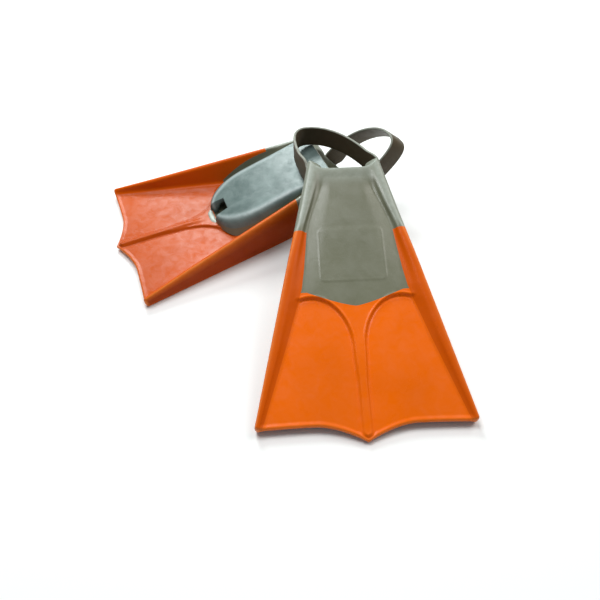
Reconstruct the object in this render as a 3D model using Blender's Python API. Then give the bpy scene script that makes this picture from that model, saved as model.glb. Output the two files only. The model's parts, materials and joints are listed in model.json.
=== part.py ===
"""A pair of short swim fins as they lie in a display: the front one top side up, the rear one sole up.

Each fin is pressed from six rubber blanks: foot pocket, sole, heel strap, blade and two side rails.
Lengths are in millimetres in the fin's own frame and become metres when a mesh is made.
Fin frame: x across the foot, y from the foot opening to the blade tip, z towards the top of the foot.
"""

import math

import bmesh
import bpy
from mathutils import Matrix, Vector

MM = 0.001

# plan of one fin
RIM_HALF = 45.2
TIP_HALF = 111.0
SIDE_LEN = 297.5
CENTRE_RISE = 15.0
CENTRE_HALF = 50.0
EDGE_HOLLOW = 1.5
TIP_ROUND = 5.0

# side rails: edge heights at the two ends, and widths from the foot opening to the tip
RAIL_TOP_RIM = 40.7
RAIL_TOP_TIP = 3.6
RAIL_LOW_RIM = -31.8
RAIL_LOW_TIP = -9.6
RAIL_WIDTH_RIM = 12.4
RAIL_WIDTH_CUT = 13.3
RAIL_WIDTH_BEND = 18.9
RAIL_WIDTH_TIP = 6.4
RAIL_EDGE = 6.0
RAIL_ROUND = 2.0
COLOUR_CUT = 82.0
RAIL_BEND_Y = 150.0

# blade: a tilted web with a thick centre rib and two thin panels
BLADE_ROOT_Y = 171.3
BLADE_ROOT_Z = 9.4
BLADE_TIP_Z = -1.7
WEB_HALF_ROOT = 4.4
WEB_HALF_TIP = 3.0
PANEL_HALF = 2.0
RIB_HALF = 4.6
RIB_FLARE = 1.6
PANEL_APEX_X = 49.0
PANEL_RISE = 58.0
PANEL_CORNER = 30.0
LOW_PANEL_SHIFT = 10.5
RAIL_FILLET = 11.0
SEAM_STEP = 4.3

# foot pocket, sole and the hollow for the foot
INSTEP_RIM_Z = 39.2
VALLEY_DEPTH = 5.0
COLLAR_WIDTH = 8.0
COLLAR_RAISE = 0.8
RIM_HOLLOW = 11.0
EAR_REACH = 11.0
SOLE_HEEL_Y = 25.4
SOLE_WIDE_Y = 120.0
SOLE_TOE_Y = 181.5
SOLE_HEEL_Z = -32.5
SOLE_TOE_Z = -6.0
SOLE_HALF = 41.0
SOLE_THICK = 4.5
INSOLE = 1.5
SOLE_LIP = 3.0
TOE_LIP = 2.0
BULGE_WIDE_Y = 140.0
WALL = 4.5
SIDE_WALL = 7.7
FOOT_SPREAD = 3.0
FOOT_BALL_Y = 95.0
DRAIN_HALF = 9.0
DRAIN_LEN = 19.9
DRAIN_ROUND = 3.0

# heel strap and its swing about the strap roots
STRAP_ROOT_Y = -4.0
STRAP_ROOT_Z = 22.0
STRAP_HALF_WIDTH = 13.0
STRAP_THICK = 3.4
STRAP_INSET = 2.2
STRAP_REACH = 90.0
SWING_UP = 40.0
SWING_DOWN = 56.0
FRONT_SWAY = 36.6
FRONT_SWAY_POWER = 1.2
FRONT_TILT = 13.05
REAR_SWAY = 31.0
REAR_SWAY_POWER = 2.0
REAR_TILT = 43.0

# clearances
SEAM = 0.3
SWING_GAP = 0.5
REST_GAP = 0.4

# how the pair lies
REAR_YAW = 109.0
REAR_SHIFT = (2.8, 77.3)

# worked out from the sizes above
STRAP_SPAN = RIM_HALF - STRAP_INSET
BULGE_TOE_Y = SOLE_TOE_Y + TOE_LIP
DRAIN_Y = SOLE_TOE_Y - DRAIN_LEN
FOOT_TOE_Y = SOLE_TOE_Y - 2.0 * WALL
END_Y = SIDE_LEN + CENTRE_RISE + 6.0
FAR = 95.0


def clear_scene():
    for obj in list(bpy.data.objects):
        bpy.data.objects.remove(obj, do_unlink=True)


def mix(a, b, t):
    return a + (b - a) * t


def share(value, start, end):
    return min(max((value - start) / (end - start), 0.0), 1.0)


def ramp(value, start, end):
    t = share(value, start, end)
    return t * t * (3.0 - 2.0 * t)


def spread(start, end, count):
    return [mix(start, end, i / count) for i in range(count + 1)]


def along(y, knots):
    """Straight stretches through (station, value) knots, carried on past both ends."""
    for (y0, v0), (y1, v1) in zip(knots, knots[1:]):
        if y <= y1:
            break
    return mix(v0, v1, (y - y0) / (y1 - y0))


def half_width(y):
    return mix(RIM_HALF, TIP_HALF, y / SIDE_LEN)


def rail_top(y):
    return mix(RAIL_TOP_RIM, RAIL_TOP_TIP, y / SIDE_LEN)


def rail_low(y):
    return mix(RAIL_LOW_RIM, RAIL_LOW_TIP, y / SIDE_LEN)


def rail_inner(y):
    """Half-width at the foot of a rail's inner wall."""
    knots = ((0.0, RAIL_WIDTH_RIM), (COLOUR_CUT, RAIL_WIDTH_CUT), (RAIL_BEND_Y, RAIL_WIDTH_BEND),
             (SIDE_LEN, RAIL_WIDTH_TIP))
    return half_width(y) - along(y, knots)


def rail_edge(y):
    return min(RAIL_EDGE, 0.6 * (half_width(y) - rail_inner(y)))


def low_inner(y):
    """The same on the sole side, where the sole fills the room between the rails at the heel."""
    filled = SOLE_HALF + 2.0 * SOLE_LIP
    return max(rail_inner(y), min(half_width(y) - rail_edge(y) - 1.0, filled))


def blade_mid(y):
    return mix(BLADE_ROOT_Z, BLADE_TIP_Z, (y - BLADE_ROOT_Y) / (SIDE_LEN - BLADE_ROOT_Y))


def web_half(y):
    return mix(WEB_HALF_ROOT, WEB_HALF_TIP, share(y, BLADE_ROOT_Y, SIDE_LEN))


def instep_line(y):
    """Top of the foot, falling straight from the rim to the root of the blade."""
    return mix(INSTEP_RIM_Z, blade_mid(BLADE_ROOT_Y) + web_half(BLADE_ROOT_Y), y / BLADE_ROOT_Y)


def instep(y):
    collar = COLLAR_RAISE * (1.0 - ramp(y, COLLAR_WIDTH, COLLAR_WIDTH + 2.0))
    return max(instep_line(y) + collar, blade_mid(y) + web_half(y))


def valley(y):
    """Bottom of the groove between the instep and a rail."""
    depth = VALLEY_DEPTH * ramp(y, 0.0, SOLE_HEEL_Y) * (1.0 - ramp(y, FOOT_BALL_Y, BLADE_ROOT_Y))
    return instep(y) - depth


def sole_z(y):
    return mix(SOLE_HEEL_Z, SOLE_TOE_Z, share(y, SOLE_HEEL_Y, SOLE_TOE_Y) ** 1.35)


def sole_half(y):
    return SOLE_HALF * math.sqrt(1.0 - share(y, SOLE_WIDE_Y, SOLE_TOE_Y) ** 2.3)


def bulge_half(y):
    """Half-width of the pocket's underside, which rounds off ahead of the toes."""
    side = low_inner(min(y, BULGE_WIDE_Y)) - 1.2
    return side * math.sqrt(1.0 - share(y, BULGE_WIDE_Y, BULGE_TOE_Y) ** 2.28)


def low_valley(y):
    web = blade_mid(y) - web_half(y)
    return mix(SOLE_HEEL_Z + 0.5 * SOLE_LIP, web, share(y, SOLE_HEEL_Y, RAIL_BEND_Y) ** 1.3)


def trailing_edge(x):
    hollow = EDGE_HOLLOW * math.sin(math.pi * min(abs(x) / TIP_HALF, 1.0))
    return SIDE_LEN - hollow + CENTRE_RISE * (1.0 - min(abs(x) / CENTRE_HALF, 1.0)) ** 1.7


def seam_half():
    return rail_inner(RAIL_BEND_Y) - 2.5


def top_seam(x):
    """Heel-side end of the blade on the top face."""
    u = min(abs(x) / seam_half(), 1.0)
    return mix(BLADE_ROOT_Y, RAIL_BEND_Y + SEAM_STEP, u ** 1.3)


def low_seam(x):
    """Heel-side end of the blade on the sole face, round the toe of the pocket."""
    u = min(abs(x) / bulge_half(BULGE_WIDE_Y), 1.0)
    toe = mix(BULGE_WIDE_Y, BULGE_TOE_Y, (1.0 - u * u) ** 0.4386) + 1.0
    return max(toe, top_seam(x) + 1.0)


def make_mesh(name, points, faces):
    mesh = bpy.data.meshes.new(name)
    mesh.from_pydata([Vector(p) * MM for p in points], [], faces)
    bm = bmesh.new()
    bm.from_mesh(mesh)
    bmesh.ops.remove_doubles(bm, verts=bm.verts, dist=0.000001)
    bmesh.ops.recalc_face_normals(bm, faces=bm.faces)
    bm.to_mesh(mesh)
    bm.free()
    return mesh


def loft(name, rings):
    """A closed skin through rings that have the same number of points."""
    count = len(rings[0])
    points = [p for ring in rings for p in ring]
    faces = []
    for k in range(len(rings) - 1):
        for i in range(count):
            j = (i + 1) % count
            faces.append((k * count + i, k * count + j, (k + 1) * count + j, (k + 1) * count + i))
    faces.append(tuple(range(count)))
    faces.append(tuple((len(rings) - 1) * count + i for i in range(count)))
    return make_mesh(name, points, faces)


def plan_prism(name, outline, low, high):
    return loft(name, [[(x, y, low) for x, y in outline], [(x, y, high) for x, y in outline]])


def side_prism(name, profile, x0, x1):
    return loft(name, [[(x0, y, z) for y, z in profile], [(x1, y, z) for y, z in profile]])


def carve(name, mesh, steps):
    """The mesh after a chain of exact booleans, each step being (operation, cutter mesh)."""
    obj = bpy.data.objects.new(name + "_work", mesh)
    bpy.context.scene.collection.objects.link(obj)
    cutters = []
    for number, (operation, cutter_mesh) in enumerate(steps):
        cutter = bpy.data.objects.new(f"{name}_cutter_{number}", cutter_mesh)
        bpy.context.scene.collection.objects.link(cutter)
        cutter.hide_render = True
        cutter.display_type = "WIRE"
        modifier = obj.modifiers.new(f"cut_{number}", "BOOLEAN")
        modifier.operation = operation
        modifier.solver = "EXACT"
        modifier.object = cutter
        cutters.append(cutter)
    graph = bpy.context.evaluated_depsgraph_get()
    result = bpy.data.meshes.new_from_object(obj.evaluated_get(graph))
    result.name = name
    for item in [obj] + cutters:
        bpy.data.objects.remove(item, do_unlink=True)
    bm = bmesh.new()
    bm.from_mesh(result)
    bmesh.ops.remove_doubles(bm, verts=bm.verts, dist=0.00001)
    bmesh.ops.dissolve_degenerate(bm, edges=bm.edges, dist=0.00001)
    bmesh.ops.triangulate(bm, faces=bm.faces)
    bm.to_mesh(result)
    bm.free()
    return result


def mirrored(right):
    """A closed ring from its right half, listed from one x = 0 end to the other."""
    return right + [(-p[0], *p[1:]) for p in reversed(right) if p[0] > 0.0]


def body_ring(y):
    """Cross-section of the whole fin at one station."""
    w = half_width(y)
    inner = rail_inner(y)
    top = rail_top(y)
    low = rail_low(y)
    crown = instep(y)
    dip = crown - valley(y)
    low_base = low_valley(y)
    if y < BULGE_TOE_Y - 0.1:
        bulge = bulge_half(y)
        sole = min(sole_half(y) + SOLE_LIP, bulge - 0.5)
        sole_level = sole_z(y)
        sole_chamfer = 1.2
    else:
        bulge = 4.0 * RIB_HALF
        sole = 3.0 * RIB_HALF
        sole_level = blade_mid(y) - web_half(y)
        sole_chamfer = 0.0
    edge = rail_edge(y)
    crease = 0.75 * edge
    corner = min(RAIL_ROUND, 0.4 * edge)
    return mirrored([
        (0.0, y, crown),
        (0.4 * inner, y, crown - 0.03 * dip),
        (0.62 * inner, y, crown - 0.12 * dip),
        (0.82 * inner, y, crown - 0.55 * dip),
        (inner, y, crown - dip),
        (w - edge, y, top - 0.5),
        (w - crease, y, top),
        (w - corner, y, top),
        (w, y, top - corner),
        (w, y, low + corner),
        (w - corner, y, low),
        (w - crease, y, low),
        (w - edge, y, low + 0.5),
        (low_inner(y), y, low_base),
        (bulge, y, low_base),
        (sole, y, sole_level + sole_chamfer),
        (max(sole - 3.0, 0.6 * sole), y, sole_level),
        (0.4 * sole, y, sole_level),
        (0.0, y, sole_level),
    ])


def body_mesh():
    stations = spread(-2.0 * EAR_REACH, 0.0, 2) + [COLLAR_WIDTH, COLLAR_WIDTH + 2.0]
    stations += spread(SOLE_HEEL_Y, COLOUR_CUT, 3) + spread(COLOUR_CUT, BULGE_WIDE_Y, 4)
    stations += [RAIL_BEND_Y, BLADE_ROOT_Y, END_Y] + spread(BULGE_TOE_Y + 8.0, SIDE_LEN, 2)
    stations += [mix(BULGE_WIDE_Y, BULGE_TOE_Y, t) for t in (0.42, 0.58, 0.83, 0.91, 0.95, 1.0)]
    kept = []
    for y in sorted(stations):
        if not kept or y - kept[-1] > 0.5:
            kept.append(y)
    return loft("fin_body", [body_ring(y) for y in kept])


def hollow_half(y):
    side = mix(RIM_HALF - SIDE_WALL, SOLE_HALF + FOOT_SPREAD, ramp(y, 0.0, FOOT_BALL_Y))
    return side * math.sqrt(1.0 - 0.98 * share(y, FOOT_BALL_Y, FOOT_TOE_Y + 2.0) ** 2.6)


def hollow_mesh():
    """The room that the foot fills, open at the heel and ending in rounded toes."""
    rings = []
    for y in spread(-4.0 * EAR_REACH, FOOT_BALL_Y, 6) + spread(FOOT_BALL_Y, FOOT_TOE_Y, 7)[1:]:
        high = instep_line(y) - WALL
        low = sole_z(y) + SOLE_THICK + SEAM + INSOLE
        tall = 0.5 * (high - low) * (1.0 - 0.35 * ramp(y, FOOT_TOE_Y - 14.0, FOOT_TOE_Y))
        ring = []
        for i in range(24):
            angle = 2.0 * math.pi * (i + 0.5) / 24
            c, s = math.cos(angle), math.sin(angle)
            reach = (abs(c) ** 2.8 + abs(s) ** 2.8) ** (-1.0 / 2.8)
            ring.append((hollow_half(y) * reach * c, y, 0.5 * (high + low) + tall * reach * s))
        rings.append(ring)
    return loft("foot_hollow", rings)


def sole_plate(name, grow, drop):
    """The sole, or with a seam around it the bed that it lies in."""
    end = SOLE_TOE_Y - 0.6
    stations = [SOLE_HEEL_Y - 8.0] + spread(SOLE_HEEL_Y, SOLE_WIDE_Y, 4)
    stations += [mix(SOLE_WIDE_Y, end, t) for t in (0.25, 0.46, 0.62, 0.75, 0.85, 0.92, 0.97)]
    stations.append(end + grow)
    rings = []
    for y in stations:
        half = max(sole_half(min(y, end)), 3.0) + grow
        level = sole_z(y)
        top = level + SOLE_THICK + grow
        low = level - drop
        rings.append(mirrored([(0.0, y, top), (half, y, top), (half, y, low), (0.0, y, low)]))
    return loft(name, rings)


def drain_prism(high):
    """The notch at the toes that lets water and sand out."""
    right = [(DRAIN_HALF, BULGE_TOE_Y + 15.0)]
    for angle in spread(0.0, 0.5 * math.pi, 6):
        right.append((DRAIN_HALF - DRAIN_ROUND * (1.0 - math.cos(angle)),
                      DRAIN_Y + DRAIN_ROUND * (1.0 - math.sin(angle))))
    return plan_prism("drain_cut", mirrored(right), -FAR, high)


def pocket_region(grow):
    """Plan zone of the grey pocket: its end differs on the two faces, so the blade root laps it."""
    cut = COLOUR_CUT - 0.5 * SEAM + grow

    def outline(seam):
        right = [(x, seam(x) + grow) for x in spread(0.0, seam_half() - 0.5, 8)]
        right.append((rail_inner(RAIL_BEND_Y) - 0.5 * SEAM + grow, RAIL_BEND_Y))
        right.append((rail_inner(COLOUR_CUT) - 0.5 * SEAM + grow, cut))
        right.append((FAR, cut))
        right.append((FAR, -FAR))
        return mirrored(right)

    high = outline(top_seam)
    low = outline(low_seam)
    return loft("pocket_region", [
        [(x, y, -FAR) for x, y in low],
        [(x, y, blade_mid(y) + grow) for x, y in low],
        [(x, y, blade_mid(y) + grow) for x, y in high],
        [(x, y, FAR) for x, y in high],
    ])


def trailing_prism():
    """Everything up to the wavy trailing edge with its rounded corners."""
    side = TIP_HALF - TIP_ROUND
    right = [(x, trailing_edge(x)) for x in spread(0.0, side, 22)]
    for angle in spread(0.0, 0.5 * math.pi, 4)[1:]:
        right.append((side + TIP_ROUND * math.sin(angle), SIDE_LEN - TIP_ROUND * (1.0 - math.cos(angle))))
    right.append((TIP_HALF + 0.5, SIDE_LEN - 4.0 * TIP_ROUND))
    right.append((TIP_HALF + FAR, SIDE_LEN - 6.0 * TIP_ROUND))
    right.append((TIP_HALF + FAR, -FAR))
    return plan_prism("trailing_edge", mirrored(right), -FAR, FAR)


def panel_outline(face):
    """One panel of the blade between the centre rib and the rail, open at the trailing edge."""
    apex_y = top_seam(PANEL_APEX_X)
    rib_y = apex_y + PANEL_RISE
    rib = [(RIB_HALF + RIB_FLARE * ramp(y, rib_y + 40.0, rib_y), y) for y in spread(END_Y + 20.0, rib_y, 4)]
    width = PANEL_APEX_X - RIB_HALF - RIB_FLARE
    arc = []
    for angle in spread(0.0, 0.5 * math.pi, 8)[1:]:
        arc.append((PANEL_APEX_X - width * math.cos(angle), rib_y - PANEL_RISE * math.sin(angle)))
    far_x = TIP_HALF + 30.0
    if face > 0:
        for angle in spread(0.0, 0.28 * math.pi, 3)[1:]:
            arc.append((PANEL_APEX_X + PANEL_CORNER * math.sin(angle),
                        apex_y + PANEL_CORNER * (1.0 - math.cos(angle))))
        return rib + arc + [(far_x, apex_y + PANEL_CORNER), (far_x, END_Y + 20.0)]
    arc = [(x, y + LOW_PANEL_SHIFT * (1.0 - 0.6 * ramp(x, 0.6 * PANEL_APEX_X, 1.25 * PANEL_APEX_X)))
           for x, y in arc]
    start = BLADE_ROOT_Y + 4.0
    strip = [(rail_inner(start) - RAIL_FILLET, start), (rail_inner(SIDE_LEN + 2.5) - 1.5, SIDE_LEN + 2.5)]
    return rib + arc + strip + [(far_x, SIDE_LEN + 4.5), (far_x, END_Y + 20.0)]


def panel_cutter(side, face):
    outline = [(side * x, y) for x, y in panel_outline(face)]
    return loft("panel_cut", [[(x, y, blade_mid(y) + face * offset) for x, y in outline]
                              for offset in (PANEL_HALF, 0.5 * FAR)])


def heel_prism():
    """Everything behind the side walls' slanting rear edge, which runs up to the ears of the rim."""
    start = SOLE_HEEL_Z + SOLE_LIP
    waist_y, waist_z = STRAP_ROOT_Y + 7.5, STRAP_ROOT_Z - 16.0
    profile = [(-FAR, -FAR), (SOLE_HEEL_Y, -FAR)]
    for t in spread(0.0, 1.0, 8):
        profile.append((mix(SOLE_HEEL_Y, waist_y, 1.0 - (1.0 - t) ** 1.8), mix(start, waist_z, t)))
    profile.append((STRAP_ROOT_Y, STRAP_ROOT_Z - 2.0))
    profile.append((1.0 - EAR_REACH, STRAP_ROOT_Z + 12.0))
    profile.append((-EAR_REACH, FAR))
    profile.append((-FAR, FAR))
    return side_prism("heel_cut", profile, -1.2 * FAR, 1.2 * FAR)


def rim_prism():
    """The hollowed front edge of the foot opening."""
    side = STRAP_SPAN - 2.0
    right = [(x, 1.0 - RIM_HOLLOW * (x / side) ** 2.4) for x in spread(0.0, side, 8)]
    return plan_prism("rim_cut", mirrored(right + [(side, -FAR)]), STRAP_ROOT_Z - 12.0, FAR)


def strap_notch(side):
    """Room at a strap root for the round end of the band and its swing."""
    radius = STRAP_HALF_WIDTH + SWING_GAP
    up = math.radians(SWING_UP)
    down = math.radians(SWING_DOWN)

    def at(forward, rise):
        return STRAP_ROOT_Y + forward, STRAP_ROOT_Z + rise

    profile = [at(radius * math.sin(up) - FAR * math.cos(up), radius * math.cos(up) + FAR * math.sin(up))]
    for angle in spread(0.5 * math.pi - up, down - 0.5 * math.pi, 12):
        profile.append(at(radius * math.cos(angle), radius * math.sin(angle)))
    profile.append(at(radius * math.sin(down) - FAR * math.cos(down),
                      -radius * math.cos(down) - FAR * math.sin(down)))
    profile.append(at(-1.1 * FAR, 0.0))
    return side_prism("strap_notch", profile, side * (STRAP_SPAN - 10.0), side * (RIM_HALF + 25.0))


def strap_point(t, sway, power):
    """Middle line of the band, from the right root round the heel to the left root, leaning aside by its sway."""
    c, s = math.cos(t), math.sin(t)
    reach = (abs(c) ** 2.3 + abs(s) ** 2.3) ** (-1.0 / 2.3)
    return STRAP_SPAN * reach * c + sway * abs(s) ** power, -STRAP_REACH * reach * s


def strap_stations(sway, power):
    """Place, direction and half-width of the band, with a round end on the root axis at each side."""
    ends = []
    for angle in spread(0.0, 0.5 * math.pi, 5)[:-1]:
        ahead = STRAP_HALF_WIDTH * math.cos(angle)
        ends.append((STRAP_SPAN, ahead, max(STRAP_HALF_WIDTH * math.sin(angle), 1.0)))
    stations = [(x, y, 0.0, -1.0, half) for x, y, half in ends]
    for t in spread(0.0, math.pi, 26):
        x, y = strap_point(t, sway, power)
        after = strap_point(t + 0.001, sway, power)
        before = strap_point(t - 0.001, sway, power)
        dx, dy = after[0] - before[0], after[1] - before[1]
        size = math.hypot(dx, dy)
        stations.append((x, y, dx / size, dy / size, STRAP_HALF_WIDTH))
    return stations + [(-x, y, 0.0, 1.0, half) for x, y, half in reversed(ends)]


def strap_mesh(name, sway, power):
    """A flat band with rounded edges, swept along a half oval."""
    t = 0.5 * STRAP_THICK
    rings = []
    for x, y, dx, dy, half in strap_stations(sway, power):
        r = min(0.26 * STRAP_THICK, 0.4 * half)
        section = [(t, half - r), (t - r, half), (r - t, half), (-t, half - r),
                   (-t, r - half), (r - t, -half), (t - r, -half), (t, r - half)]
        rings.append([(x + dy * out, y - dx * out, rise) for out, rise in section])
    return loft(name, rings)


def material(name, colour, roughness):
    mat = bpy.data.materials.new(name)
    mat.use_nodes = True
    shader = mat.node_tree.nodes["Principled BSDF"]
    shader.inputs["Base Color"].default_value = (*colour, 1.0)
    shader.inputs["Roughness"].default_value = roughness
    return mat


def pocket_mesh(body):
    roof = blade_mid(SOLE_TOE_Y) - 0.9 * WALL
    return carve("foot_pocket", body, [
        ("INTERSECT", pocket_region(0.0)),
        ("DIFFERENCE", hollow_mesh()),
        ("DIFFERENCE", sole_plate("sole_bed", SEAM, 30.0)),
        ("DIFFERENCE", drain_prism(roof)),
        ("DIFFERENCE", heel_prism()),
        ("DIFFERENCE", rim_prism()),
        ("DIFFERENCE", strap_notch(1.0)),
        ("DIFFERENCE", strap_notch(-1.0)),
    ])


def sole_mesh():
    end = SOLE_HEEL_Y + 0.2
    trim = mirrored([(FAR, -FAR), (FAR, end)])
    return carve("sole", sole_plate("sole_plate", 0.0, 0.0), [
        ("DIFFERENCE", drain_prism(FAR)),
        ("DIFFERENCE", plan_prism("heel_trim", trim, -FAR, FAR)),
    ])


def blade_mesh(body):
    ends = (RAIL_BEND_Y - 20.0, RAIL_BEND_Y, END_Y + 15.0)
    inside = mirrored([(rail_inner(y) - 0.5 * SEAM, y) for y in ends])
    return carve("blade", body, [
        ("INTERSECT", plan_prism("blade_zone", inside, -FAR, FAR)),
        ("DIFFERENCE", pocket_region(SEAM)),
        ("DIFFERENCE", panel_cutter(1.0, 1)),
        ("DIFFERENCE", panel_cutter(-1.0, 1)),
        ("DIFFERENCE", panel_cutter(1.0, -1)),
        ("DIFFERENCE", panel_cutter(-1.0, -1)),
    ])


def rail_mesh(name, body, side):
    start = COLOUR_CUT + 0.5 * SEAM
    end = END_Y + 15.0
    zone = [(side * (rail_inner(y) + 0.5 * SEAM), y) for y in (start, RAIL_BEND_Y, end)]
    zone += [(side * (TIP_HALF + 30.0), end), (side * (TIP_HALF + 30.0), start)]
    return carve(name, body, [("INTERSECT", plan_prism("rail_zone", zone, -FAR, FAR))])


def fin_meshes():
    """The rigid solids of a fin, in its own frame; the strap is made apart."""
    body = carve("shaped_body", body_mesh(), [("INTERSECT", trailing_prism())])
    return {
        "foot_pocket": pocket_mesh(body.copy()),
        "sole": sole_mesh(),
        "blade": blade_mesh(body.copy()),
        "left_rail": rail_mesh("left_rail", body.copy(), -1.0),
        "right_rail": rail_mesh("right_rail", body.copy(), 1.0),
    }


def add_part(name, mesh, parent, mat, location=(0.0, 0.0, 0.0), tilt=0.0):
    obj = bpy.data.objects.new(name, mesh)
    bpy.context.scene.collection.objects.link(obj)
    obj.data.name = name
    obj.data.materials.clear()
    obj.data.materials.append(mat)
    obj.parent = parent
    obj.location = Vector(location) * MM
    obj.rotation_euler = (math.radians(tilt), 0.0, 0.0)
    return obj


def build_fin(prefix, meshes, sway, power, tilt):
    root = bpy.data.objects.new(prefix + "_fin", None)
    bpy.context.scene.collection.objects.link(root)
    grey = (0.25, 0.25, 0.22)
    orange = (0.78, 0.16, 0.015)
    looks = {
        "foot_pocket": (grey, 0.5),
        "sole": ((0.29, 0.31, 0.31), 0.5),
        "blade": (orange, 0.45),
        "left_rail": (orange, 0.45),
        "right_rail": (orange, 0.45),
    }
    parts = []
    for key, (colour, rough) in looks.items():
        mat = material(f"{prefix}_{key}_rubber", colour, rough)
        parts.append(add_part(f"{prefix}_{key}", meshes[key].copy(), root, mat))
    mat = material(f"{prefix}_heel_strap_rubber", (0.09, 0.085, 0.075), 0.5)
    strap = strap_mesh(f"{prefix}_heel_strap", sway, power)
    axis = (0.0, STRAP_ROOT_Y, STRAP_ROOT_Z)
    parts.append(add_part(f"{prefix}_heel_strap", strap, root, mat, axis, tilt))
    return root, parts


def place(root, matrix):
    root.matrix_world = matrix
    bpy.context.view_layer.update()


def world_points(parts):
    return [part.matrix_world @ v.co for part in parts for v in part.data.vertices]


def world_box(parts):
    points = world_points(parts)
    low = Vector(min(p[i] for p in points) for i in range(3))
    high = Vector(max(p[i] for p in points) for i in range(3))
    return low, high


def settle(root, parts):
    """Lower a fin onto the floor."""
    low, _ = world_box(parts)
    place(root, Matrix.Translation((0.0, 0.0, -low.z)) @ root.matrix_world)


def leaning_turn(parts, height):
    """Turn of the front fin, its blade tip on the floor and its strap resting at the given height."""
    points = world_points(parts)
    strap = world_points(parts[-1:])

    def rise(pitch):
        turn = Matrix.Rotation(-pitch, 3, "X")
        floor = min((turn @ p).z for p in points)
        return min((turn @ p).z for p in strap) - floor

    low, high = 0.0, math.radians(30.0)
    for _ in range(24):
        middle = 0.5 * (low + high)
        if rise(middle) < height:
            low = middle
        else:
            high = middle
    return Matrix.Rotation(math.pi, 4, "Z") @ Matrix.Rotation(-high, 4, "X")


def build_pair():
    clear_scene()
    meshes = fin_meshes()
    front, front_parts = build_fin("front", meshes, FRONT_SWAY, FRONT_SWAY_POWER, FRONT_TILT)
    rear, rear_parts = build_fin("rear", meshes, REAR_SWAY, REAR_SWAY_POWER, REAR_TILT)
    bpy.context.view_layer.update()
    lean = math.atan((RAIL_TOP_RIM - RAIL_TOP_TIP) / SIDE_LEN)
    turn = Matrix.Rotation(math.radians(REAR_YAW), 4, "Z") @ Matrix.Rotation(-lean, 4, "X")
    shift = Matrix.Translation(Vector((*REAR_SHIFT, 0.0)) * MM)
    place(rear, shift @ turn @ Matrix.Rotation(math.pi, 4, "Y"))
    settle(rear, rear_parts)
    _, rear_high = world_box(rear_parts[:-1])
    place(front, leaning_turn(front_parts, rear_high.z + REST_GAP * MM))
    settle(front, front_parts)
    low, high = world_box(front_parts + rear_parts)
    centre = Matrix.Translation((-0.5 * (low.x + high.x), -0.5 * (low.y + high.y), -low.z))
    for root in (front, rear):
        place(root, centre @ root.matrix_world)


build_pair()
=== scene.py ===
"""Dresses the solids of a pair of short swim fins in moulded rubber skins, and sets the studio."""
import json
import math

import bmesh
import bpy
import numpy as np
from mathutils import Matrix, Vector


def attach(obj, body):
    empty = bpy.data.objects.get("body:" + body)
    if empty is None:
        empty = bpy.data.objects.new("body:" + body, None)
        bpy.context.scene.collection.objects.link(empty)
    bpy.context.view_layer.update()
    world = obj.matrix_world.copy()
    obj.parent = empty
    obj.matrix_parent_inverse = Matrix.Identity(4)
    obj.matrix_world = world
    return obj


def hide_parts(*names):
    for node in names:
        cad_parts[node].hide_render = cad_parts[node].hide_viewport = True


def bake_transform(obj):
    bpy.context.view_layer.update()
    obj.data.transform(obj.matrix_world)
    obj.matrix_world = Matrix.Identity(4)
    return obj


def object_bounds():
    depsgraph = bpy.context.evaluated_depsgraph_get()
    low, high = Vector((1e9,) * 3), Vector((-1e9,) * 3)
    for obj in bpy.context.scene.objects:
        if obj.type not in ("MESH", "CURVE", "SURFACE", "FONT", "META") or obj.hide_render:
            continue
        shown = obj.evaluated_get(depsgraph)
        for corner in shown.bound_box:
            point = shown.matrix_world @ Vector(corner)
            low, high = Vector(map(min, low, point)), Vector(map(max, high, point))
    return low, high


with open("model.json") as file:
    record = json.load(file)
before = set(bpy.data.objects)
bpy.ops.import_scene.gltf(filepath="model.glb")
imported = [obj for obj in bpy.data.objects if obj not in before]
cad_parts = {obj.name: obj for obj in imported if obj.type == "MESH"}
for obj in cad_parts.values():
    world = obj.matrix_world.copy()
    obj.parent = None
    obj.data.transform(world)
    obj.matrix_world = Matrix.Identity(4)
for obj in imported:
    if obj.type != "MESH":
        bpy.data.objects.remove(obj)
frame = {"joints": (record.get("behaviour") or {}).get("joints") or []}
CAD_BOX = [[float(value) for value in corner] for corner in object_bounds()]

bl_info = {
    "name": "Swim fins",
    "version": (1, 0, 0),
    "blender": (4, 5, 0),
    "location": "View3D > Sidebar > Swim fins",
    "description": "Moulded rubber skins for a pair of short swim fins",
    "category": "Object",
}

SIDES = ("front", "rear")

# Fixed parts of the moulded form, with lengths in millimetres in the fin's own frame:
# x across, y from the rim to the tip, z from the sole to the instep.
# Face 1 is the top and face -1 the sole. A pair of values runs from the rim end to the tip end, or outwards
# from the middle line. A run is the stretch along the fin over which a form comes in, dies out or changes.

# Side rails: widths at the rim, the colour change, the bend and the tip, and how their edges are rounded.
RAIL_BEND = 150.0
RAIL_WIDTHS = (12.4, 13.3, 18.9, 6.4)
RAIL_CROWN = {1: (12.5, 8.0), -1: (7.0, 7.0)}
RAIL_DROP = {1: (7.5, 4.5), -1: (13.0, 13.0)}
RAIL_BROW = {1: (6.2, 2.4), -1: (4.5, 4.5)}
RAIL_RUN = (50.0, 130.0)
CROWN_RUN = (25.0, 140.0)
CREST_SHARE = (0.78, 0.62)
TURN_SHARE = (0.36, 0.47)
RAIL_FILLET = (6.0, 4.4)
FILLET_RUN = (90.0, 170.0)
FILLET_EXTRA = 1.5
FILLET_EXTRA_RUN = (185.0, 215.0)
RAIL_LEDGE = 1.2
TUBE_SPREAD = 7.0
TUBE_RUN = (10.0, 80.0)
LOW_EDGE = 6.0
GUTTER = 6.0

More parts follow.
